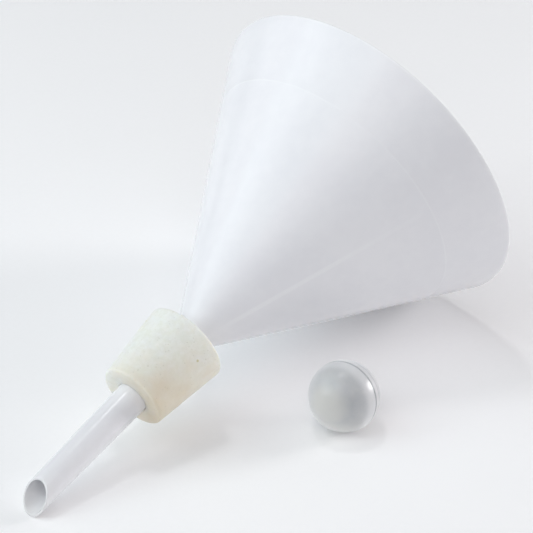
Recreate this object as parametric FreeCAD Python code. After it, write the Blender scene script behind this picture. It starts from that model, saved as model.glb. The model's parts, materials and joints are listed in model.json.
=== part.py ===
import FreeCAD, Part
import math
import os

# A large funnel with a stopper on its stem, lying on a table, and its loose float ball beside it.
# Millimetres, +Z up, the table's surface is Z = 0. The funnel's axis lies in the XZ plane and
# climbs towards its mouth, at +X. The origin is on the table, under the middle of the whole set.
# Each turned piece is drawn along its own axis: s along the axis, r away from it. On the funnel's
# axis, s is 0 at the point where the cone's outside would end, and grows towards the mouth.

# funnel body: cone and stem in one moulding
mouth_radius = 90.0
cone_half_angle = 30.0
cone_wall = 1.8
rim_round = 0.4
ring_s = 126.0
ring_width = 0.9
ring_height = 0.12
stem_radius = 8.84
stem_taper = 0.0154
bore_radius = 6.3
flare_round = 8.0
throat_round = 1.0
cut_s = -101.7
cut_angle = 47.0

# stopper on the stem
stopper_top_s = 11.3
stopper_length = 41.6
stopper_top_radius = 22.2
stopper_bottom_radius = 17.6
stopper_round = 1.5
stopper_hole_round = 0.5
stem_gap = 0.05

# float ball: two half shells, a lip of one inside the edge of the other, and a band round the
# other that stands a little proud of its dome
ball_radius = 18.0
ball_wall = 1.2
seam_bevel = 0.3
band_width = 3.6
band_height = 0.25
lip_length = 1.5
lip_wall = 0.6
lip_gap = 0.05
ball_x = 15.2
ball_y = -66.2
seam_turn = 8.8
seam_dip = 10.7

half_angle = math.radians(cone_half_angle)
cone_slope = math.tan(half_angle)
cut_slope = 1.0 / math.tan(math.radians(cut_angle))


def stem_outside(s):
    """Outer radius of the tapered stem."""
    return stem_radius + stem_taper * s


def cone_inside(s):
    """Inner radius of the cone, a wall's thickness in from its outside."""
    return (s - cone_wall / math.sin(half_angle)) * cone_slope


# The rim's outer edge is a small arc, and its centre is where the cone's height comes from.
rim_arc_r = mouth_radius - rim_round
rim_arc_s = (rim_arc_r + rim_round / math.cos(half_angle)) / cone_slope
rim_s = rim_arc_s + rim_round

# The stem's slanted cut leaves a long point, on the funnel's lower side.
point_s = (cut_s - cut_slope * stem_radius) / (1.0 + cut_slope * stem_taper)
point_r = stem_outside(point_s)

# The funnel rests on that point and on the bottom of its rim.
rest_length = math.hypot(rim_arc_s - point_s, rim_arc_r - point_r)
tilt = math.atan2(rim_arc_r - point_r, rim_arc_s - point_s) + math.asin(rim_round / rest_length)
apex_z = point_r * math.cos(tilt) - point_s * math.sin(tilt)
reach_to_rim = rim_arc_s * math.cos(tilt) + rim_arc_r * math.sin(tilt) + rim_round
reach_to_point = point_s * math.cos(tilt) + point_r * math.sin(tilt)
apex_x = -(reach_to_rim + reach_to_point) / 2.0


def lay_on_table(shape):
    """Turn a piece drawn on the funnel's axis into its place on the table."""
    turn = FreeCAD.Rotation(FreeCAD.Vector(0, 1, 0), 90.0 - math.degrees(tilt))
    shape.Placement = FreeCAD.Placement(FreeCAD.Vector(apex_x, 0, apex_z), turn)
    return shape


def turned(corners):
    """Solid of revolution about Z from corners (s, r) or (s, r, radius of a rounded corner)."""
    points = [FreeCAD.Vector(corner[1], 0, corner[0]) for corner in corners]
    edges = []
    first_start = None
    last_end = None
    for index, corner in enumerate(corners):
        here = points[index]
        start = here
        end = here
        arc = None
        if len(corner) == 3:
            back = (points[index - 1] - here).normalize()
            ahead = (points[(index + 1) % len(points)] - here).normalize()
            half = back.getAngle(ahead) / 2.0
            start = here + back * (corner[2] / math.tan(half))
            end = here + ahead * (corner[2] / math.tan(half))
            inward = (back + ahead).normalize()
            middle = here + inward * (corner[2] / math.sin(half) - corner[2])
            arc = Part.Arc(start, middle, end).toShape()
        if last_end is None:
            first_start = start
        else:
            edges.append(Part.LineSegment(last_end, start).toShape())
        if arc:
            edges.append(arc)
        last_end = end
    edges.append(Part.LineSegment(last_end, first_start).toShape())
    profile = Part.Face(Part.Wire(edges))
    return profile.revolve(FreeCAD.Vector(0, 0, 0), FreeCAD.Vector(0, 0, 1), 360)


def witness_ring():
    """Faint raised line round the cone where the halves of the mould meet."""
    low = ring_s - ring_width / 2.0
    high = ring_s + ring_width / 2.0
    rise = ring_height / math.cos(half_angle)
    sunk = cone_wall / 2.0
    return turned([
        (low, low * cone_slope - sunk),
        (low, low * cone_slope),
        (ring_s, ring_s * cone_slope + rise, ring_width),
        (high, high * cone_slope),
        (high, high * cone_slope - sunk),
    ])


def slanted_cut():
    """Block that takes the stem's end away along a slanted plane."""
    side = 8.0 * stem_radius
    block = Part.makeBox(side, side, side, FreeCAD.Vector(-side / 2.0, -side / 2.0, 0))
    away = FreeCAD.Vector(-cut_slope, 0, -1)
    turn = FreeCAD.Rotation(FreeCAD.Vector(0, 0, 1), away)
    block.Placement = FreeCAD.Placement(FreeCAD.Vector(0, 0, cut_s), turn)
    return block


def funnel_body():
    """Cone and stem, open from the mouth to the slanted tip."""
    flare_s = stem_radius / (cone_slope - stem_taper)
    throat_s = bore_radius / cone_slope + cone_wall / math.sin(half_angle)
    blank_s = point_s - stem_radius
    body = turned([
        (blank_s, stem_outside(blank_s)),
        (flare_s, stem_outside(flare_s), flare_round),
        (rim_s, rim_s * cone_slope, rim_round),
        (rim_s, cone_inside(rim_s), rim_round),
        (throat_s, bore_radius, throat_round),
        (blank_s, bore_radius),
    ])
    body = body.cut(slanted_cut()).fuse(witness_ring())
    return lay_on_table(body.removeSplitter())


def stopper():
    """Tapered stopper, its hole a little wider than the stem all along."""
    bottom_s = stopper_top_s - stopper_length
    return lay_on_table(turned([
        (bottom_s, stopper_bottom_radius, stopper_round),
        (stopper_top_s, stopper_top_radius, stopper_round),
        (stopper_top_s, stem_outside(stopper_top_s) + stem_gap, stopper_hole_round),
        (bottom_s, stem_outside(bottom_s) + stem_gap, stopper_hole_round),
    ]))


def ball_shell(side):
    """One half shell of the ball, on the side +1 or -1 of the seam.

    The -1 shell has the lip, and the +1 shell the raised band.
    """
    inner_radius = ball_radius - ball_wall
    lip_radius = inner_radius + lip_wall
    if side > 0:
        dome_radius = ball_radius - band_height
        step_s = lip_length + lip_gap
        step_r = lip_radius + lip_gap
    else:
        dome_radius = ball_radius
        step_s = -lip_length
        step_r = lip_radius

    def at(s, r):
        return FreeCAD.Vector(r, 0, s * side)

    def on_sphere(radius, s):
        return at(s, math.sqrt(radius ** 2 - s ** 2))

    def arc(radius, start_s, end_s):
        middle_s = radius * math.sin((math.asin(start_s / radius) + math.asin(end_s / radius)) / 2.0)
        ends = [on_sphere(radius, s) for s in (start_s, middle_s, end_s)]
        return Part.Arc(*ends).toShape()

    def line(start, end):
        return Part.LineSegment(start, end).toShape()

    # from the inner pole round the seam to the outer pole, and back along the axis
    corners = [
        on_sphere(inner_radius, step_s),
        at(step_s, step_r),
        at(0, step_r),
        at(0, ball_radius - seam_bevel),
        on_sphere(ball_radius, seam_bevel),
    ]
    edges = [arc(inner_radius, inner_radius, step_s)]
    edges += [line(start, end) for start, end in zip(corners, corners[1:])]
    dome_s = seam_bevel
    if side > 0:
        dome_s = band_width + band_height
        edges.append(arc(ball_radius, seam_bevel, band_width))
        edges.append(line(on_sphere(ball_radius, band_width), on_sphere(dome_radius, dome_s)))
    edges.append(arc(dome_radius, dome_s, dome_radius))
    edges.append(line(at(dome_radius, 0), at(inner_radius, 0)))
    profile = Part.Face(Part.Wire(edges))
    shell = profile.revolve(FreeCAD.Vector(0, 0, 0), FreeCAD.Vector(0, 0, 1), 360)
    turn = FreeCAD.Rotation(FreeCAD.Vector(0, 0, 1), seam_turn)
    lean = FreeCAD.Rotation(FreeCAD.Vector(0, 1, 0), 90.0 + seam_dip)
    place = FreeCAD.Vector(ball_x, ball_y, ball_radius)
    shell.Placement = FreeCAD.Placement(place, turn.multiply(lean))
    return shell


os.makedirs("parts", exist_ok=True)
nodes = {
    "funnel_body": funnel_body(),
    "stopper": stopper(),
    "ball_front_shell": ball_shell(-1),
    "ball_rear_shell": ball_shell(1),
}
for name, shape in nodes.items():
    shape.exportStep("parts/" + name + ".step")
    box = shape.BoundBox
    print(name, "valid", shape.isValid(), "solids", len(shape.Solids),
          "volume %.1f" % shape.Volume,
          "box %.2f %.2f %.2f to %.2f %.2f %.2f" % (box.XMin, box.YMin, box.ZMin,
                                                     box.XMax, box.YMax, box.ZMax))
print("tilt %.3f degrees, apex at x %.3f, z %.3f" % (math.degrees(tilt), apex_x, apex_z))
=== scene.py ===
import bpy
import json
import math
from mathutils import Matrix, Vector


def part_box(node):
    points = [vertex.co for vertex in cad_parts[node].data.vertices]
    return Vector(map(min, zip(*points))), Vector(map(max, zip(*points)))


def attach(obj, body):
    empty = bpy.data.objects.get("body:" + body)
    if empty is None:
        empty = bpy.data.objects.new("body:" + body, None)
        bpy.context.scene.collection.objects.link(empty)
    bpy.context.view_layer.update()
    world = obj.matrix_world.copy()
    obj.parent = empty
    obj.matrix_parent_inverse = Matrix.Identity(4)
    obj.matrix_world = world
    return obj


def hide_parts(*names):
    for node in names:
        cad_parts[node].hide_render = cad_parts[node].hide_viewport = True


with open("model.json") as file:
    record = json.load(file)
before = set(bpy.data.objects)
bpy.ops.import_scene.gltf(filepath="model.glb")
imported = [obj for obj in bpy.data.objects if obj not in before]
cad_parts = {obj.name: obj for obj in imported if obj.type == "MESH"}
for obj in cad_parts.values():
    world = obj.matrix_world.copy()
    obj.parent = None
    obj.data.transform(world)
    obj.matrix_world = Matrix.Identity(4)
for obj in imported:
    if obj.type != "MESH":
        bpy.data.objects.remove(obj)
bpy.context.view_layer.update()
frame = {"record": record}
bpy.ops.object.select_all(action="DESELECT")
mm = 0.001
nearby = 0.01 * mm   # a vertex this close to a place counts as being there


# ---- where things are, from the frame

mounts = {mount["name"]: mount for mount in frame["record"]["mounts"]}
axisDir = Vector(mounts["mouth_rim"]["axis"])
axisPoint = Vector(mounts["stem_bore"]["pos_m"])
rimPoint = Vector(mounts["mouth_rim"]["pos_m"])
rimCentre = axisPoint + axisDir * (rimPoint - axisPoint).dot(axisDir)

funnelShape = {
    "mouthRadius": 90 * mm,
    "halfAngle": math.radians(30),
    "wall": 1.8 * mm,
    "rimRound": 0.4 * mm,
    "stemRadius": 8.84 * mm,      # at the cone's apex
    "stemTaper": 0.0154,
    "boreRadius": 6.3 * mm,
    "flareRound": 8 * mm,
    "throatRound": 1 * mm,
    "cutAt": -101.7 * mm,         # slanted cut, from the apex
    "cutAngle": math.radians(47),
    "cutRound": 0.22 * mm,
    "shortestEdge": 0.004 * mm,   # shorter edges at the cut are merged away
    "around": 240,
    "ringAt": 126 * mm,
    "ringWidth": 0.9 * mm,
    "ringHeight": 0.05 * mm,
    "partingTurn": math.radians(-108),
    "partingFrom": 28 * mm,
    "partingTo": 125 * mm,
    "partingHeight": 0.08 * mm,
}

coneSlope = math.tan(funnelShape["halfAngle"])
rimCorner = funnelShape["mouthRadius"] - funnelShape["rimRound"]
rimCorner += funnelShape["rimRound"] / math.cos(funnelShape["halfAngle"])
rimCorner += funnelShape["rimRound"] * coneSlope
rimAt = rimCorner / coneSlope
apex = rimCentre - axisDir * rimAt


def axisPlace(origin, direction):
    # local Z along the direction, local X towards the table
    down = Vector((0, 1, 0)).cross(direction).normalized()
    turn = Matrix((down, direction.cross(down), direction)).transposed()
    return Matrix.Translation(origin) @ turn.to_4x4()


funnelPlace = axisPlace(apex, axisDir)


# ---- tools used by every piece

def editOn():
    bpy.ops.object.mode_set(mode="EDIT")


def editOff():
    bpy.ops.object.mode_set(mode="OBJECT")


def pick(mesh, kind, test):
    # selects the vertices, edges or faces whose middle passes the test
    editOn()
    bpy.ops.mesh.select_all(action="DESELECT")
    bpy.ops.mesh.select_mode(type={"vertices": "VERT", "edges": "EDGE", "polygons": "FACE"}[kind])
    editOff()
    for item in getattr(mesh, kind):
        if kind == "vertices":
            item.select = test(item.co)
        elif kind == "edges":
            ends = [mesh.vertices[i].co for i in item.vertices]
            item.select = test(*ends)
        else:
            item.select = test(item.center, item.normal)
    editOn()


def startVertex(name, x, z):
    # a small plane merged to one vertex, the start of a drawn profile
    bpy.ops.mesh.primitive_plane_add(size=mm)
    piece = bpy.context.object
    piece.name = name
    piece.data.name = name
    editOn()
    bpy.ops.mesh.select_mode(type="VERT")
    bpy.ops.mesh.select_all(action="SELECT")
    bpy.ops.mesh.merge(type="CENTER")
    bpy.ops.transform.translate(value=(x, 0, z))
    return piece


def drawTo(step):
    bpy.ops.mesh.extrude_region_move(TRANSFORM_OT_translate={"value": step})


def drawProfile(name, corners, closed):
    # corners are (s, r) along and away from the axis, drawn in the XZ plane
    piece = startVertex(name, corners[0][1], corners[0][0])
    for before, after in zip(corners, corners[1:]):
        drawTo((after[1] - before[1], 0, after[0] - before[0]))
    if closed:
        editOff()
        ends = [Vector((r, 0, s)) for s, r in (corners[0], corners[-1])]
        pick(piece.data, "vertices", lambda co: min((co - end).length for end in ends) < nearby)
        bpy.ops.mesh.edge_face_add()
    editOff()
    return piece


def roundCorner(piece, corner, radius, segments):
    # bevels one corner of a profile to a radius
    mesh = piece.data
    spot = Vector((corner[1], 0, corner[0]))
    index = min(range(len(mesh.vertices)), key=lambda i: (mesh.vertices[i].co - spot).length)
    arms = []
    for edge in mesh.edges:
        if index in edge.vertices:
            other = edge.vertices[0] + edge.vertices[1] - index
            arms.append((mesh.vertices[other].co - spot).normalized())
    cutBack = radius / math.tan(arms[0].angle(arms[1]) / 2)
    pick(mesh, "vertices", lambda co: (co - spot).length < nearby)
    bpy.ops.mesh.bevel(offset=cutBack, segments=segments, affect="VERTICES", clamp_overlap=False)
    editOff()


def spinRound(piece, steps):
    editOn()
    bpy.ops.mesh.select_all(action="SELECT")
    bpy.ops.mesh.spin(steps=steps, angle=math.tau, center=(0, 0, 0), axis=(0, 0, 1))
    bpy.ops.mesh.select_all(action="SELECT")
    bpy.ops.mesh.remove_doubles(threshold=1e-7)
    bpy.ops.mesh.normals_make_consistent(inside=False)
    editOff()


def settle(piece, place):
    # puts the piece in its place in the row, with its object at the origin
    piece.matrix_world = place
    bpy.ops.object.select_all(action="DESELECT")
    piece.select_set(True)
    bpy.context.view_layer.objects.active = piece
    bpy.ops.object.transform_apply(location=True, rotation=True, scale=True)
    bpy.ops.object.select_all(action="DESELECT")


print("frame loaded, apex at", tuple(round(c, 4) for c in apex))


# ---- funnel body

def stemOutside(s):
    return funnelShape["stemRadius"] + funnelShape["stemTaper"] * s


def coneInside(s):
    return (s - funnelShape["wall"] / math.sin(funnelShape["halfAngle"])) * coneSlope


def along(start, end, count):
    # points between two profile corners, without the ends
    return [tuple(a + (b - a) * k / count for a, b in zip(start, end)) for k in range(1, count)]


def makeFunnel():
    shape = funnelShape
    cutSlope = 1 / math.tan(shape["cutAngle"])
    blankEnd = shape["cutAt"] - (cutSlope + 1) * shape["stemRadius"]
    flareAt = shape["stemRadius"] / (coneSlope - shape["stemTaper"])
    throatAt = shape["boreRadius"] / coneSlope + shape["wall"] / math.sin(shape["halfAngle"])
    ringLow = shape["ringAt"] - shape["ringWidth"] / 2
    ringHigh = shape["ringAt"] + shape["ringWidth"] / 2
    rise = shape["ringHeight"] / math.cos(shape["halfAngle"])

    tipOuter = (blankEnd, stemOutside(blankEnd))
    flare = (flareAt, stemOutside(flareAt))
    ringStart = (ringLow, ringLow * coneSlope)
    ringTop = (shape["ringAt"], shape["ringAt"] * coneSlope + rise)
    ringEnd = (ringHigh, ringHigh * coneSlope)
    rimOuter = (rimAt, rimCorner)
    rimInner = (rimAt, coneInside(rimAt))
    throat = (throatAt, shape["boreRadius"])
    tipInner = (blankEnd, shape["boreRadius"])

    corners = [tipOuter] + along(tipOuter, flare, 12) + [flare]
    corners += along(flare, ringStart, 16) + [ringStart, ringTop, ringEnd]
    corners += along(ringEnd, rimOuter, 6) + [rimOuter, rimInner]
    corners += along(rimInner, throat, 16) + [throat] + along(throat, tipInner, 10) + [tipInner]

    piece = drawProfile("funnelBody", corners, closed=True)
    roundCorner(piece, flare, shape["flareRound"], 6)
    roundCorner(piece, ringTop, shape["ringWidth"], 2)
    roundCorner(piece, rimOuter, shape["rimRound"], 4)
    roundCorner(piece, rimInner, shape["rimRound"], 4)
    roundCorner(piece, throat, shape["throatRound"], 4)
    spinRound(piece, shape["around"])

    # the slanted cut, closed by a ring of faces with softened edges
    cutPoint = Vector((0, 0, shape["cutAt"]))
    cutNormal = Vector((cutSlope, 0, 1)).normalized()
    editOn()
    bpy.ops.mesh.select_all(action="SELECT")
    bpy.ops.mesh.bisect(plane_co=cutPoint, plane_no=cutNormal, clear_inner=True)
    bpy.ops.mesh.select_all(action="DESELECT")
    bpy.ops.mesh.select_mode(type="EDGE")
    bpy.ops.mesh.select_non_manifold(extend=False)
    bpy.ops.mesh.bridge_edge_loops()
    editOff()

    # edges that run round the cut, not those across its face
    def onCut(a, b):
        flat = max(abs((co - cutPoint).dot(cutNormal)) for co in (a, b)) < 1e-6
        return flat and abs(math.hypot(a.x, a.y) - math.hypot(b.x, b.y)) < 0.3 * mm

    pick(piece.data, "edges", onCut)
    bpy.ops.mesh.bevel(offset=shape["cutRound"], segments=3, affect="EDGES")
    bpy.ops.mesh.select_all(action="SELECT")
    bpy.ops.mesh.dissolve_degenerate(threshold=shape["shortestEdge"])
    bpy.ops.mesh.remove_doubles(threshold=shape["shortestEdge"])
    editOff()

    # the two parting lines of the mould, one row of vertices raised a little on each side
    def onParting(co):
        out = math.hypot(co.x, co.y)
        apart = abs(co.y * math.cos(shape["partingTurn"]) - co.x * math.sin(shape["partingTurn"]))
        outside = out > (coneInside(co.z) + co.z * coneSlope) / 2
        return apart < nearby and outside and shape["partingFrom"] < co.z < shape["partingTo"]

    pick(piece.data, "vertices", onParting)
    bpy.ops.transform.shrink_fatten(value=shape["partingHeight"])
    editOff()
    return piece


# ---- stopper

stopperShape = {
    "top": 11.3 * mm,
    "length": 41.6 * mm,
    "topRadius": 22.2 * mm,
    "bottomRadius": 17.6 * mm,
    "edgeRound": 1.5 * mm,
    "holeRound": 0.5 * mm,
    "stemGap": 0.05 * mm,
    "around": 180,
    "unevenness": 0.14 * mm,
    "unevenSize": 9 * mm,
}


def makeStopper():
    shape = stopperShape
    bottom = shape["top"] - shape["length"]
    bottomOuter = (bottom, shape["bottomRadius"])
    topOuter = (shape["top"], shape["topRadius"])
    topInner = (shape["top"], stemOutside(shape["top"]) + shape["stemGap"])
    bottomInner = (bottom, stemOutside(bottom) + shape["stemGap"])
    corners = [bottomOuter] + along(bottomOuter, topOuter, 28) + [topOuter]
    corners += along(topOuter, topInner, 6)
    corners += [topInner] + along(topInner, bottomInner, 8) + [bottomInner]
    corners += along(bottomInner, bottomOuter, 6)
    piece = drawProfile("stopperPlug", corners, closed=True)
    for corner in (bottomOuter, topOuter):
        roundCorner(piece, corner, shape["edgeRound"], 6)
    for corner in (topInner, bottomInner):
        roundCorner(piece, corner, shape["holeRound"], 3)
    spinRound(piece, shape["around"])

    # soft unevenness of the cast rubber, kept away from the hole
    pick(piece.data, "vertices", lambda co: math.hypot(co.x, co.y) > shape["bottomRadius"] * 0.7)
    piece.vertex_groups.new(name="outside")
    bpy.ops.object.vertex_group_assign()
    editOff()
    waves = bpy.data.textures.new("castWaves", "CLOUDS")
    waves.noise_scale = shape["unevenSize"]
    uneven = piece.modifiers.new("uneven", "DISPLACE")
    uneven.texture = waves
    uneven.strength = shape["unevenness"]
    uneven.vertex_group = "outside"
    bpy.ops.object.modifier_apply(modifier="uneven")
    return piece


# ---- float ball

ballShape = {
    "radius": 18 * mm,
    "wall": 1.2 * mm,
    "seamBevel": 0.3 * mm,
    "bandWidth": 3.6 * mm,
    "bandHeight": 0.25 * mm,
    "lipLength": 1.5 * mm,
    "lipWall": 0.6 * mm,
    "lipGap": 0.05 * mm,
    "around": 144,
    "rows": 32,
    "bandRows": 6,
    "turn": math.radians(8.8),
    "dip": math.radians(10.7),
}


def ballArc(radius, fromHeight, toHeight, rows):
    # arc on a sphere from one height above the seam to another
    low, high = math.asin(fromHeight / radius), math.asin(toHeight / radius)
    angles = [low + (high - low) * k / rows for k in range(rows + 1)]
    return [(radius * math.sin(a), radius * math.cos(a)) for a in angles]


def makeShell(name, side):
    shape = ballShape
    inner = shape["radius"] - shape["wall"]
    lip = inner + shape["lipWall"]
    step = -shape["lipLength"] if side < 0 else shape["lipLength"] + shape["lipGap"]
    stepRadius = lip if side < 0 else lip + shape["lipGap"]
    dome = shape["radius"] - (shape["bandHeight"] if side > 0 else 0)
    outerArc = ballArc(shape["radius"], shape["seamBevel"], shape["bandWidth"], shape["bandRows"])
    if side > 0:
        outerArc += ballArc(dome, shape["bandWidth"] + shape["bandHeight"], dome, shape["rows"])[:-1]
    else:
        outerArc += ballArc(dome, shape["bandWidth"], dome, shape["rows"])[1:-1]
    outerArc.append((dome, 0.0))
    innerArc = ballArc(inner, step, inner, shape["rows"])[:-1] + [(inner, 0.0)]
    corners = outerArc[::-1] + [(0.0, shape["radius"] - shape["seamBevel"])]
    corners += [(0.0, stepRadius), (step, stepRadius)] + innerArc
    piece = drawProfile(name, corners, closed=False)
    spinRound(piece, shape["around"])
    if side < 0:
        editOn()
        bpy.ops.mesh.select_all(action="SELECT")
        bpy.ops.transform.mirror(constraint_axis=(False, False, True), center_override=(0, 0, 0))
        bpy.ops.mesh.normals_make_consistent(inside=False)
        editOff()
    return piece


# the front shell holds the ball's sides towards -X, -Y and +Z
low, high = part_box("ball_front_shell")
ballCentre = Vector((low[0], low[1], high[2])) + Vector((1, 1, -1)) * ballShape["radius"]
seamDir = Vector((math.cos(ballShape["dip"]) * math.cos(ballShape["turn"]),
                  math.cos(ballShape["dip"]) * math.sin(ballShape["turn"]),
                  -math.sin(ballShape["dip"])))
ballPlace = axisPlace(ballCentre, seamDir)


print("modelling")
funnelBody = makeFunnel()
settle(funnelBody, funnelPlace)
stopperPlug = makeStopper()
settle(stopperPlug, funnelPlace)
frontShell = makeShell("ballFrontHalf", -1)
settle(frontShell, ballPlace)
rearShell = makeShell("ballRearHalf", 1)
settle(rearShell, ballPlace)

for piece, node, body, slotName in (
    (funnelBody, "funnel_body", "funnel", "white_polyethylene"),
    (stopperPlug, "stopper", "stopper", "silicone_rubber"),
    (frontShell, "ball_front_shell", "float_ball", "float_plastic"),
    (rearShell, "ball_rear_shell", "float_ball", "float_plastic"),
):
    bpy.context.view_layer.objects.active = piece
    piece.select_set(True)
    bpy.ops.object.shade_smooth_by_angle(angle=math.radians(35))
    piece.select_set(False)
    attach(piece, body)
    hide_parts(node)


# ---- tools used by every finish

def addNode(tree, kind, sockets=None, **settings):
    made = tree.nodes.new(kind)
    for name, value in settings.items():
        setattr(made, name, value)
    for key, value in (sockets or {}).items():
        if isinstance(value, bpy.types.NodeSocket):
            tree.links.new(value, made.inputs[key])
        else:
            made.inputs[key].default_value = value
    return made


def calc(tree, operation, *values):
    return addNode(tree, "ShaderNodeMath", dict(enumerate(values)), operation=operation).outputs[0]


def rampTo(tree, value, low, high, start=0.0, end=1.0):
    sockets = {"Value": value, "From Min": low, "From Max": high, "To Min": start, "To Max": end}
    return addNode(tree, "ShaderNodeMapRange", sockets, interpolation_type="SMOOTHSTEP").outputs[0]


def blendTo(tree, mask, under, over):
    # sockets 6 and 7 of a colour mix are its two colours
    return addNode(tree, "ShaderNodeMix", {0: mask, 6: under, 7: over}, data_type="RGBA").outputs[2]


def noiseAt(tree, vector, scale, detail=2.0, roughness=0.5):
    sockets = {"Vector": vector, "Scale": scale, "Detail": detail, "Roughness": roughness}
    return addNode(tree, "ShaderNodeTexNoise", sockets).outputs["Fac"]


def mixValue(tree, mask, low, high):
    return addNode(tree, "ShaderNodeMix", {0: mask, 2: low, 3: high}).outputs[0]


def ownCoords(tree, place):
    # positions in the piece's own frame, its axis along Z
    sockets = {"Vector": addNode(tree, "ShaderNodeTexCoord").outputs["Object"],
               "Location": place.translation, "Rotation": place.to_euler()}
    return addNode(tree, "ShaderNodeMapping", sockets, vector_type="TEXTURE").outputs[0]


def startGroup(name, inputs, outputs):
    tree = bpy.data.node_groups.new(name, "ShaderNodeTree")
    for label, value in inputs.items():
        kind = {float: "NodeSocketFloat", tuple: "NodeSocketColor", str: "NodeSocketVector"}[type(value)]
        socket = tree.interface.new_socket(label, in_out="INPUT", socket_type=kind)
        if kind != "NodeSocketVector":
            socket.default_value = value
    for label, kind in outputs.items():
        tree.interface.new_socket(label, in_out="OUTPUT", socket_type="NodeSocket" + kind)
    return tree, tree.nodes.new("NodeGroupInput").outputs, tree.nodes.new("NodeGroupOutput").inputs


def useGroup(tree, group, sockets):
    return addNode(tree, "ShaderNodeGroup", sockets, node_tree=group).outputs


def startFinish(name, place, fixed):
    # a material with its constant values set on the shader's own sockets
    material = bpy.data.materials.new(name)
    material.use_nodes = True
    tree = material.node_tree
    shader = tree.nodes["Principled BSDF"]
    for socket, value in fixed.items():
        shader.inputs[socket].default_value = value
    return material, tree, shader, ownCoords(tree, place)


def addBump(tree, shader, height, depth):
    bump = addNode(tree, "ShaderNodeBump", {"Height": height, "Strength": 1.0, "Distance": depth})
    tree.links.new(bump.outputs[0], shader.inputs["Normal"])


# ---- shared effects

def makeMottle():
    # clouded colour between two tints, large clouds broken by small ones
    tree, given, result = startGroup(
        "mottle",
        {"Vector": "", "Cloud Scale": 30.0, "Fleck Scale": 200.0, "Fleck Share": 0.4,
         "Tint One": (0.8, 0.8, 0.8, 1.0), "Tint Two": (0.9, 0.9, 0.9, 1.0)},
        {"Colour": "Color", "Mask": "Float"})
    clouds = noiseAt(tree, given["Vector"], given["Cloud Scale"], 3.0)
    flecks = noiseAt(tree, given["Vector"], given["Fleck Scale"], 3.0, 0.6)
    share = calc(tree, "SUBTRACT", 1.0, given["Fleck Share"])
    both = calc(tree, "ADD", calc(tree, "MULTIPLY", clouds, share),
                calc(tree, "MULTIPLY", flecks, given["Fleck Share"]))
    mask = rampTo(tree, both, 0.36, 0.64)
    tree.links.new(blendTo(tree, mask, given["Tint One"], given["Tint Two"]), result["Colour"])
    tree.links.new(mask, result["Mask"])
    return tree


def makeGrain():
    # fine moulded grain, as a height from 0 to 1
    tree, given, result = startGroup(
        "mouldGrain", {"Vector": "", "Scale": 900.0, "Wave Scale": 90.0, "Wave Share": 0.4},
        {"Height": "Float"})
    fine = noiseAt(tree, given["Vector"], given["Scale"], 2.0, 0.6)
    waves = noiseAt(tree, given["Vector"], given["Wave Scale"], 1.0)
    tree.links.new(mixValue(tree, given["Wave Share"], fine, waves), result["Height"])
    return tree


def makeSpecks():
    # scattered small spots: one in each cell that its random value picks
    tree, given, result = startGroup(
        "specks", {"Vector": "", "Scale": 250.0, "Share": 0.1, "Size": 0.3}, {"Mask": "Float"})
    sockets = {"Vector": given["Vector"], "Scale": given["Scale"]}
    warp = addNode(tree, "ShaderNodeTexNoise", sockets).outputs["Color"]
    sockets = {0: warp, "Scale": 1.2 * mm}
    shift = addNode(tree, "ShaderNodeVectorMath", sockets, operation="SCALE").outputs[0]
    sockets = {0: given["Vector"], 1: shift}
    moved = addNode(tree, "ShaderNodeVectorMath", sockets, operation="ADD").outputs[0]
    cells = addNode(tree, "ShaderNodeTexVoronoi", {"Vector": moved, "Scale": given["Scale"]}).outputs
    chance = addNode(tree, "ShaderNodeSeparateColor", {0: cells["Color"]}).outputs[0]
    picked = calc(tree, "LESS_THAN", chance, given["Share"])
    inside = rampTo(tree, calc(tree, "DIVIDE", cells["Distance"], given["Size"]), 0.5, 1.0, 1.0, 0.0)
    tree.links.new(calc(tree, "MULTIPLY", picked, inside), result["Mask"])
    return tree


def makeScuffs():
    # short straight scratches: thin spots in cells that are drawn out along one direction
    tree, given, result = startGroup(
        "scuffs", {"Vector": "", "Scale": 100.0, "Length": 14.0, "Width": 0.04, "Share": 0.1},
        {"Mask": "Float"})
    shrink = calc(tree, "DIVIDE", given["Scale"], given["Length"])
    sockets = {0: given["Scale"], 1: shrink, 2: given["Scale"]}
    stretch = addNode(tree, "ShaderNodeCombineXYZ", sockets).outputs[0]
    sockets = {0: given["Vector"], 1: stretch}
    drawn = addNode(tree, "ShaderNodeVectorMath", sockets, operation="MULTIPLY").outputs[0]
    cells = addNode(tree, "ShaderNodeTexVoronoi", {"Vector": drawn, "Scale": 1.0}).outputs
    chance = addNode(tree, "ShaderNodeSeparateColor", {0: cells["Color"]}).outputs[0]
    picked = calc(tree, "LESS_THAN", chance, given["Share"])
    inside = rampTo(tree, calc(tree, "DIVIDE", cells["Distance"], given["Width"]), 0.5, 1.0, 1.0, 0.0)
    tree.links.new(calc(tree, "MULTIPLY", picked, inside), result["Mask"])
    return tree


def makeBand():
    # a soft band round a place along one coordinate, uneven along its length
    tree, given, result = startGroup(
        "wornBand",
        {"Vector": "", "Coordinate": 0.0, "Place": 0.0, "Width": 0.001, "Breakup": 0.5,
         "Breakup Scale": 60.0},
        {"Mask": "Float"})
    apart = calc(tree, "ABSOLUTE", calc(tree, "SUBTRACT", given["Coordinate"], given["Place"]))
    band = rampTo(tree, calc(tree, "DIVIDE", apart, given["Width"]), 0.35, 1.0, 1.0, 0.0)
    patches = rampTo(tree, noiseAt(tree, given["Vector"], given["Breakup Scale"], 2.0), 0.35, 0.65)
    left = calc(tree, "SUBTRACT", 1.0, calc(tree, "MULTIPLY", given["Breakup"], patches))
    tree.links.new(calc(tree, "MULTIPLY", band, left), result["Mask"])
    return tree


mottle = makeMottle()
mouldGrain = makeGrain()
specks = makeSpecks()
scuffs = makeScuffs()
wornBand = makeBand()


# ---- white polyethylene of the funnel

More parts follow.
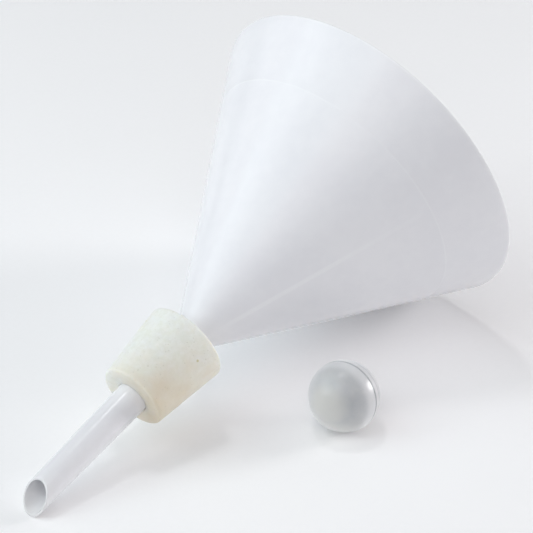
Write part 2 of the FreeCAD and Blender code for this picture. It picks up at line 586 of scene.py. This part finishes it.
polyethylene = {
    "tintOne": (0.855, 0.855, 0.885, 1),
    "tintTwo": (0.885, 0.885, 0.91, 1),
    "whitened": (0.95, 0.96, 0.97, 1),     # rim, raised lines and scuffs
    "darkTint": (0.62, 0.60, 0.55, 1),
    "roughness": (0.19, 0.24),
    "scuffRoughness": 0.03,
    "stemPolish": 0.05,                    # the stopper has polished the stem
    "polishFade": (-30 * mm, 20 * mm),
    "turnedFinely": 14.0,                  # finer along the axis than round it
    "grainDepth": 0.012 * mm,
    "rimWidth": 1.6 * mm,
    "rimPaleness": 0.6,
    "ringWidth": 0.5 * mm,
    "partingWidth": 1.7 * mm,
    "partingStart": (20 * mm, 34 * mm),
    "partingEnd": (118 * mm, 126 * mm),
    "linePaleness": 0.4,
    "scuffShare": 0.07,
    "scuffTurn": (0.4, 1.1, 0.3),
    "scuffPaleness": 0.14,
    "tipReach": 16 * mm,
    "tipDarkening": 0.5,
    "dustShade": 0.4,
}


def finishPolyethylene():
    look = polyethylene
    material, tree, shader, own = startFinish("whitePolyethylene", funnelPlace, {
        "IOR": 1.5, "Subsurface Weight": 0.25, "Subsurface Scale": 3 * mm,
        "Subsurface Radius": (1.0, 1.0, 1.0)})
    axes = addNode(tree, "ShaderNodeSeparateXYZ", {0: own}).outputs
    cloud = useGroup(tree, mottle, {
        "Vector": own, "Cloud Scale": 22.0, "Fleck Scale": 160.0, "Fleck Share": 0.35,
        "Tint One": look["tintOne"], "Tint Two": look["tintTwo"]})
    stretch = (1.0, 1.0, look["turnedFinely"])
    turned = addNode(tree, "ShaderNodeMapping", {"Vector": own, "Scale": stretch}).outputs[0]
    drag = addNode(tree, "ShaderNodeMapping", {"Vector": own, "Rotation": look["scuffTurn"]}).outputs[0]
    scratched = useGroup(tree, scuffs, {
        "Vector": drag, "Scale": 300.0, "Length": 9.0, "Width": 0.1,
        "Share": look["scuffShare"]})["Mask"]
    rim = useGroup(tree, wornBand, {
        "Vector": own, "Coordinate": axes["Z"], "Place": rimAt, "Width": look["rimWidth"]})["Mask"]
    ring = useGroup(tree, wornBand, {
        "Vector": own, "Coordinate": axes["Z"], "Place": funnelShape["ringAt"],
        "Width": look["ringWidth"], "Breakup": 1.0, "Breakup Scale": 20.0})["Mask"]
    turn = funnelShape["partingTurn"]
    across = calc(tree, "SUBTRACT", calc(tree, "MULTIPLY", axes["Y"], math.cos(turn)),
                  calc(tree, "MULTIPLY", axes["X"], math.sin(turn)))
    parting = useGroup(tree, wornBand, {
        "Vector": own, "Coordinate": across, "Width": look["partingWidth"],
        "Breakup": 0.7, "Breakup Scale": 18.0})["Mask"]
    onCone = calc(tree, "MULTIPLY", rampTo(tree, axes["Z"], *look["partingStart"]),
                  rampTo(tree, axes["Z"], *look["partingEnd"], 1.0, 0.0))
    # the lines are on the outside only
    squares = calc(tree, "ADD", calc(tree, "POWER", axes["X"], 2.0), calc(tree, "POWER", axes["Y"], 2.0))
    radius = calc(tree, "SQRT", squares)
    depth = calc(tree, "SUBTRACT", calc(tree, "MULTIPLY", axes["Z"], coneSlope), radius)
    outside = calc(tree, "LESS_THAN", depth, funnelShape["wall"] / 2)
    raised = calc(tree, "MAXIMUM", ring, calc(tree, "MULTIPLY", parting, onCone))
    raised = calc(tree, "MULTIPLY", raised, outside)
    pale = calc(tree, "MAXIMUM", calc(tree, "MULTIPLY", rim, look["rimPaleness"]),
                calc(tree, "MULTIPLY", raised, look["linePaleness"]))
    pale = calc(tree, "MAXIMUM", pale, calc(tree, "MULTIPLY", scratched, look["scuffPaleness"]))
    dust = useGroup(tree, specks, {"Vector": own, "Scale": 90.0, "Share": 0.05, "Size": 0.035})["Mask"]
    colour = blendTo(tree, pale, cloud["Colour"], look["whitened"])
    cutAt = funnelShape["cutAt"]
    reach = look["tipReach"]
    # darker towards the cut end of the stem, inside and out
    tip = rampTo(tree, axes["Z"], cutAt - reach, cutAt + reach, look["tipDarkening"], 0.0)
    dustAndTipDark = calc(tree, "MAXIMUM", tip, calc(tree, "MULTIPLY", dust, look["dustShade"]))
    colour = blendTo(tree, dustAndTipDark, colour, look["darkTint"])
    tree.links.new(colour, shader.inputs["Base Color"])
    stemShine = rampTo(tree, axes["Z"], *look["polishFade"], look["stemPolish"], 0.0)
    dulled = mixValue(tree, noiseAt(tree, turned, 30.0, 3.0), *look["roughness"])
    gloss = calc(tree, "ADD", calc(tree, "SUBTRACT", dulled, stemShine),
                 calc(tree, "MULTIPLY", scratched, look["scuffRoughness"]))
    tree.links.new(gloss, shader.inputs["Roughness"])
    grain = useGroup(tree, mouldGrain, {
        "Vector": turned, "Scale": 420.0, "Wave Scale": 26.0, "Wave Share": 0.6})["Height"]
    addBump(tree, shader, grain, look["grainDepth"])
    return material


# ---- milky silicone rubber of the stopper

silicone = {
    "milky": (0.905, 0.925, 0.885, 1),
    "clouded": (0.84, 0.855, 0.79, 1),
    "yellowedAndShaded": (0.73, 0.64, 0.49, 1),         # yellowed rubber, with painted shade
    "speck": (0.55, 0.47, 0.16, 1),
    "pit": (0.38, 0.35, 0.28, 1),
    "yellowingAndShade": 0.9,
    "yellowShadeRange": (0.15, 0.95),
    "shadeFront": 14.0,                     # for each metre towards -Y
    "yellowShadeSmallEnd": 12.0,                  # for each metre towards the small end
    "yellowShadePatches": 0.5,
    "pitShade": 0.22,
    "speckShade": 0.6,
    "roughness": (0.42, 0.6),
    "grainDepth": 0.09 * mm,
    "pitDepth": 0.8,                       # times the grain's depth
}


def finishSilicone():
    look = silicone
    material, tree, shader, own = startFinish("milkySilicone", funnelPlace, {
        "IOR": 1.43, "Subsurface Weight": 0.5, "Subsurface Scale": 6 * mm,
        "Subsurface Radius": (1.0, 0.85, 0.6)})
    axes = addNode(tree, "ShaderNodeSeparateXYZ", {0: own}).outputs
    cloud = useGroup(tree, mottle, {
        "Vector": own, "Cloud Scale": 85.0, "Fleck Scale": 420.0, "Fleck Share": 0.5,
        "Tint One": look["clouded"], "Tint Two": look["milky"]})
    # yellowed rubber and painted shade: browner towards the small end and the side towards -Y, half as
    # strongly downwards
    frontSide = calc(tree, "SUBTRACT", calc(tree, "MULTIPLY", axes["X"], 0.5), axes["Y"])
    frontSide = calc(tree, "MULTIPLY", frontSide, look["shadeFront"])
    patches = calc(tree, "MULTIPLY", noiseAt(tree, own, 90.0, 4.0), look["yellowShadePatches"])
    smallEnd = calc(tree, "MULTIPLY", axes["Z"], -look["yellowShadeSmallEnd"])
    yellowingAndShade = calc(tree, "ADD", calc(tree, "ADD", smallEnd, frontSide), patches)
    yellowedAndShaded = rampTo(tree, yellowingAndShade, *look["yellowShadeRange"], 0.0, look["yellowingAndShade"])
    pits = useGroup(tree, specks, {"Vector": own, "Scale": 760.0, "Share": 0.16, "Size": 0.3})["Mask"]
    spots = useGroup(tree, specks, {"Vector": own, "Scale": 130.0, "Share": 0.3, "Size": 0.12})["Mask"]
    # yellowing and painted shade, browner towards the small end, the -Y side and downwards
    colour = blendTo(tree, yellowedAndShaded, cloud["Colour"], look["yellowedAndShaded"])
    colour = blendTo(tree, calc(tree, "MULTIPLY", pits, look["pitShade"]), colour, look["pit"])
    colour = blendTo(tree, calc(tree, "MULTIPLY", spots, look["speckShade"]), colour, look["speck"])
    tree.links.new(colour, shader.inputs["Base Color"])
    gloss = mixValue(tree, noiseAt(tree, own, 120.0, 3.0), *look["roughness"])
    tree.links.new(gloss, shader.inputs["Roughness"])
    grain = useGroup(tree, mouldGrain, {
        "Vector": own, "Scale": 900.0, "Wave Scale": 260.0, "Wave Share": 0.55})["Height"]
    height = calc(tree, "SUBTRACT", grain, calc(tree, "MULTIPLY", pits, look["pitDepth"]))
    addBump(tree, shader, height, look["grainDepth"])
    return material


# ---- translucent plastic of the ball

floatPlastic = {
    "clear": (0.70, 0.72, 0.74, 1),
    "cloudy": (0.79, 0.80, 0.80, 1),
    "weldWhiteAndGlow": (0.97, 0.985, 1.0, 1),       # whiter where the wall is doubled at the seam, widened into a painted glow of light through the shell
    "shadow": (0.47, 0.49, 0.52, 1),       # painted shade in the seam's groove and beside the band
    "paintedLightTint": (0.94, 0.93, 0.87, 1),       # painted light: lighter and yellower on the side that faces down and in the middle of the front half
    "paintedLightShare": 0.8,
    "lowestFrom": (2 * mm, 18 * mm),       # below the ball's middle
    "lowestLean": 0.2,                     # towards the front half
    "poleFrom": (-17.9 * mm, -12.8 * mm),  # along the seam's axis
    "spotShade": 0.5,
    "weldPlace": -1.5 * mm,
    "weldWidth": 7 * mm,
    "weldGlowShare": 0.85,
    "grooveWidth": 1.1 * mm,
    "edgeBeside": 0.3 * mm,
    "edgeWidth": 1.0 * mm,
    "creaseShade": 0.7,
    "roughness": (0.29, 0.36),
    "scuffRoughness": 0.1,
    "scuffTurn": (0.7, 0.2, 0.5),
    "grainDepth": 0.01 * mm,
}


def finishFloatPlastic():
    look = floatPlastic
    material, tree, shader, own = startFinish("floatPlastic", ballPlace, {
        "IOR": 1.49, "Transmission Weight": 0.3, "Subsurface Weight": 0.4, "Subsurface Scale": 4 * mm,
        "Subsurface Radius": (1.0, 1.0, 0.95), "Coat Weight": 0.3, "Coat Roughness": 0.22,
        "Sheen Weight": 1.0, "Sheen Roughness": 0.45})
    axes = addNode(tree, "ShaderNodeSeparateXYZ", {0: own}).outputs
    cloud = useGroup(tree, mottle, {
        "Vector": own, "Cloud Scale": 60.0, "Fleck Scale": 330.0, "Fleck Share": 0.3,
        "Tint One": look["clear"], "Tint Two": look["cloudy"]})
    band = {"Vector": own, "Coordinate": axes["Z"], "Breakup Scale": 50.0}
    weldWhiteAndGlow = useGroup(tree, wornBand, {
        **band, "Place": look["weldPlace"], "Width": look["weldWidth"], "Breakup": 0.2})["Mask"]
    groove = useGroup(tree, wornBand, {
        **band, "Place": 0.0, "Width": look["grooveWidth"], "Breakup": 0.15})["Mask"]
    bandEdge = useGroup(tree, wornBand, {
        **band, "Place": ballShape["bandWidth"] + look["edgeBeside"], "Width": look["edgeWidth"],
        "Breakup": 0.15})["Mask"]
    creaseShadeMask = calc(tree, "MAXIMUM", groove, bandEdge)
    spots = useGroup(tree, specks, {"Vector": own, "Scale": 110.0, "Share": 0.08, "Size": 0.16})["Mask"]
    drag = addNode(tree, "ShaderNodeMapping", {"Vector": own, "Rotation": look["scuffTurn"]}).outputs[0]
    scratched = useGroup(tree, scuffs, {
        "Vector": drag, "Scale": 420.0, "Width": 0.12, "Share": 0.2})["Mask"]
    below = calc(tree, "SUBTRACT", axes["X"], calc(tree, "MULTIPLY", axes["Z"], look["lowestLean"]))
    paintedLowLight = rampTo(tree, below, *look["lowestFrom"], 0.0, look["paintedLightShare"])
    paintedPoleLight = rampTo(tree, axes["Z"], *look["poleFrom"], look["paintedLightShare"], 0.0)
    # painted light: a lighter, yellower colour on the lower side and in the front half's middle
    colour = blendTo(tree, calc(tree, "MAXIMUM", paintedLowLight, paintedPoleLight), cloud["Colour"], look["paintedLightTint"])
    colour = blendTo(tree, calc(tree, "MULTIPLY", spots, look["spotShade"]), colour, look["weldWhiteAndGlow"])
    # white at the doubled wall, widened into a painted glow beside the seam
    colour = blendTo(tree, calc(tree, "MULTIPLY", weldWhiteAndGlow, look["weldGlowShare"]), colour, look["weldWhiteAndGlow"])
    # painted shade along the seam's groove and the band's edge
    colour = blendTo(tree, calc(tree, "MULTIPLY", creaseShadeMask, look["creaseShade"]), colour, look["shadow"])
    tree.links.new(colour, shader.inputs["Base Color"])
    gloss = mixValue(tree, noiseAt(tree, own, 150.0, 2.0), *look["roughness"])
    gloss = calc(tree, "ADD", gloss, calc(tree, "MULTIPLY", scratched, look["scuffRoughness"]))
    tree.links.new(gloss, shader.inputs["Roughness"])
    grain = useGroup(tree, mouldGrain, {
        "Vector": own, "Scale": 700.0, "Wave Scale": 120.0, "Wave Share": 0.6})["Height"]
    addBump(tree, shader, grain, look["grainDepth"])
    return material


funnelBody.data.materials.append(finishPolyethylene())
stopperPlug.data.materials.append(finishSilicone())
shellFinish = finishFloatPlastic()
frontShell.data.materials.append(shellFinish)
rearShell.data.materials.append(shellFinish)
print("finishes made")


# ---- floor, light and camera

studio = {
    "floorSize": 24.0,
    "floorColour": (0.92, 0.92, 0.925, 1),
    "floorTint": (0.90, 0.90, 0.905, 1),
    "floorGlow": 0.08,
    "worldColour": (0.97, 0.96, 1.0),
    "worldStrength": 0.3,
    # name: azimuth, elevation, distance, width, height, power, colour
    "sidePanel": (-125, 45, 1.5, 1.6, 1.2, 7.4, (0.80, 0.97, 1.0)),
    "backPanel": (-150, 25, 1.5, 1.6, 1.0, 3.6, (0.97, 0.98, 1.0)),
    "frontPanel": (-60, 55, 1.6, 1.2, 1.2, 5.2, (1.0, 0.93, 0.93)),
    "lowLamp": (55, 12, 1.3, 0.4, 0.4, 8.2, (1.0, 0.98, 0.98)),
    "topLamp": (164, 76, 1.46, 0.22, 0.22, 2.2, (1.0, 1.0, 1.0)),
    "windowLamp": (-120, 24, 1.5, 0.3, 0.3, 1.3, (0.95, 0.98, 1.0)),
}

view = {
    "aim": Vector((33.2, 0.0, 56.8)) * mm,
    "azimuth": -49.15,
    "elevation": 33.11,
    "distance": 1501.5 * mm,
    "lens": 202.6,
}


def finishFloor():
    material, tree, shader, own = startFinish("paleFloor", Matrix.Identity(4), {
        "Roughness": 0.85, "Emission Color": studio["floorColour"],
        "Emission Strength": studio["floorGlow"]})
    cloud = useGroup(tree, mottle, {
        "Vector": own, "Cloud Scale": 3.0, "Fleck Scale": 400.0, "Fleck Share": 0.3,
        "Tint One": studio["floorTint"], "Tint Two": studio["floorColour"]})
    tree.links.new(cloud["Colour"], shader.inputs["Base Color"])
    return material


def towards(azimuth, elevation):
    # direction from the object to a camera or light; azimuth 0 is -Y, 90 is +X
    a, e = math.radians(azimuth), math.radians(elevation)
    return Vector((math.sin(a) * math.cos(e), -math.cos(a) * math.cos(e), math.sin(e)))


bpy.ops.mesh.primitive_plane_add(size=studio["floorSize"])
floor = bpy.context.object
floor.name = "studioFloor"
floor.data.materials.append(finishFloor())
floor.select_set(False)

world = bpy.data.worlds.new("studioWorld")
bpy.context.scene.world = world
world.use_nodes = True
world.node_tree.nodes["Background"].inputs["Color"].default_value = (*studio["worldColour"], 1)
world.node_tree.nodes["Background"].inputs["Strength"].default_value = studio["worldStrength"]

for name in ("sidePanel", "backPanel", "frontPanel", "lowLamp", "topLamp", "windowLamp"):
    azimuth, elevation, distance, width, height, power, colour = studio[name]
    lamp = bpy.data.objects.new(name, bpy.data.lights.new(name, "AREA"))
    lamp.data.shape = "RECTANGLE"
    lamp.data.size = width
    lamp.data.size_y = height
    lamp.data.energy = power
    lamp.data.color = colour
    lamp.location = view["aim"] + towards(azimuth, elevation) * distance
    lamp.rotation_mode = "QUATERNION"
    lamp.rotation_quaternion = (-towards(azimuth, elevation)).to_track_quat("-Z", "Y")
    bpy.context.scene.collection.objects.link(lamp)

camera = bpy.data.objects.new("photoCamera", bpy.data.cameras.new("photoCamera"))
camera.data.lens = view["lens"]
camera.data.sensor_width = 36
camera.location = view["aim"] + towards(view["azimuth"], view["elevation"]) * view["distance"]
camera.rotation_mode = "QUATERNION"
camera.rotation_quaternion = (-towards(view["azimuth"], view["elevation"])).to_track_quat("-Z", "Y")
bpy.context.scene.collection.objects.link(camera)
bpy.context.scene.camera = camera
bpy.context.scene.view_settings.view_transform = "Standard"

print("pieces made")
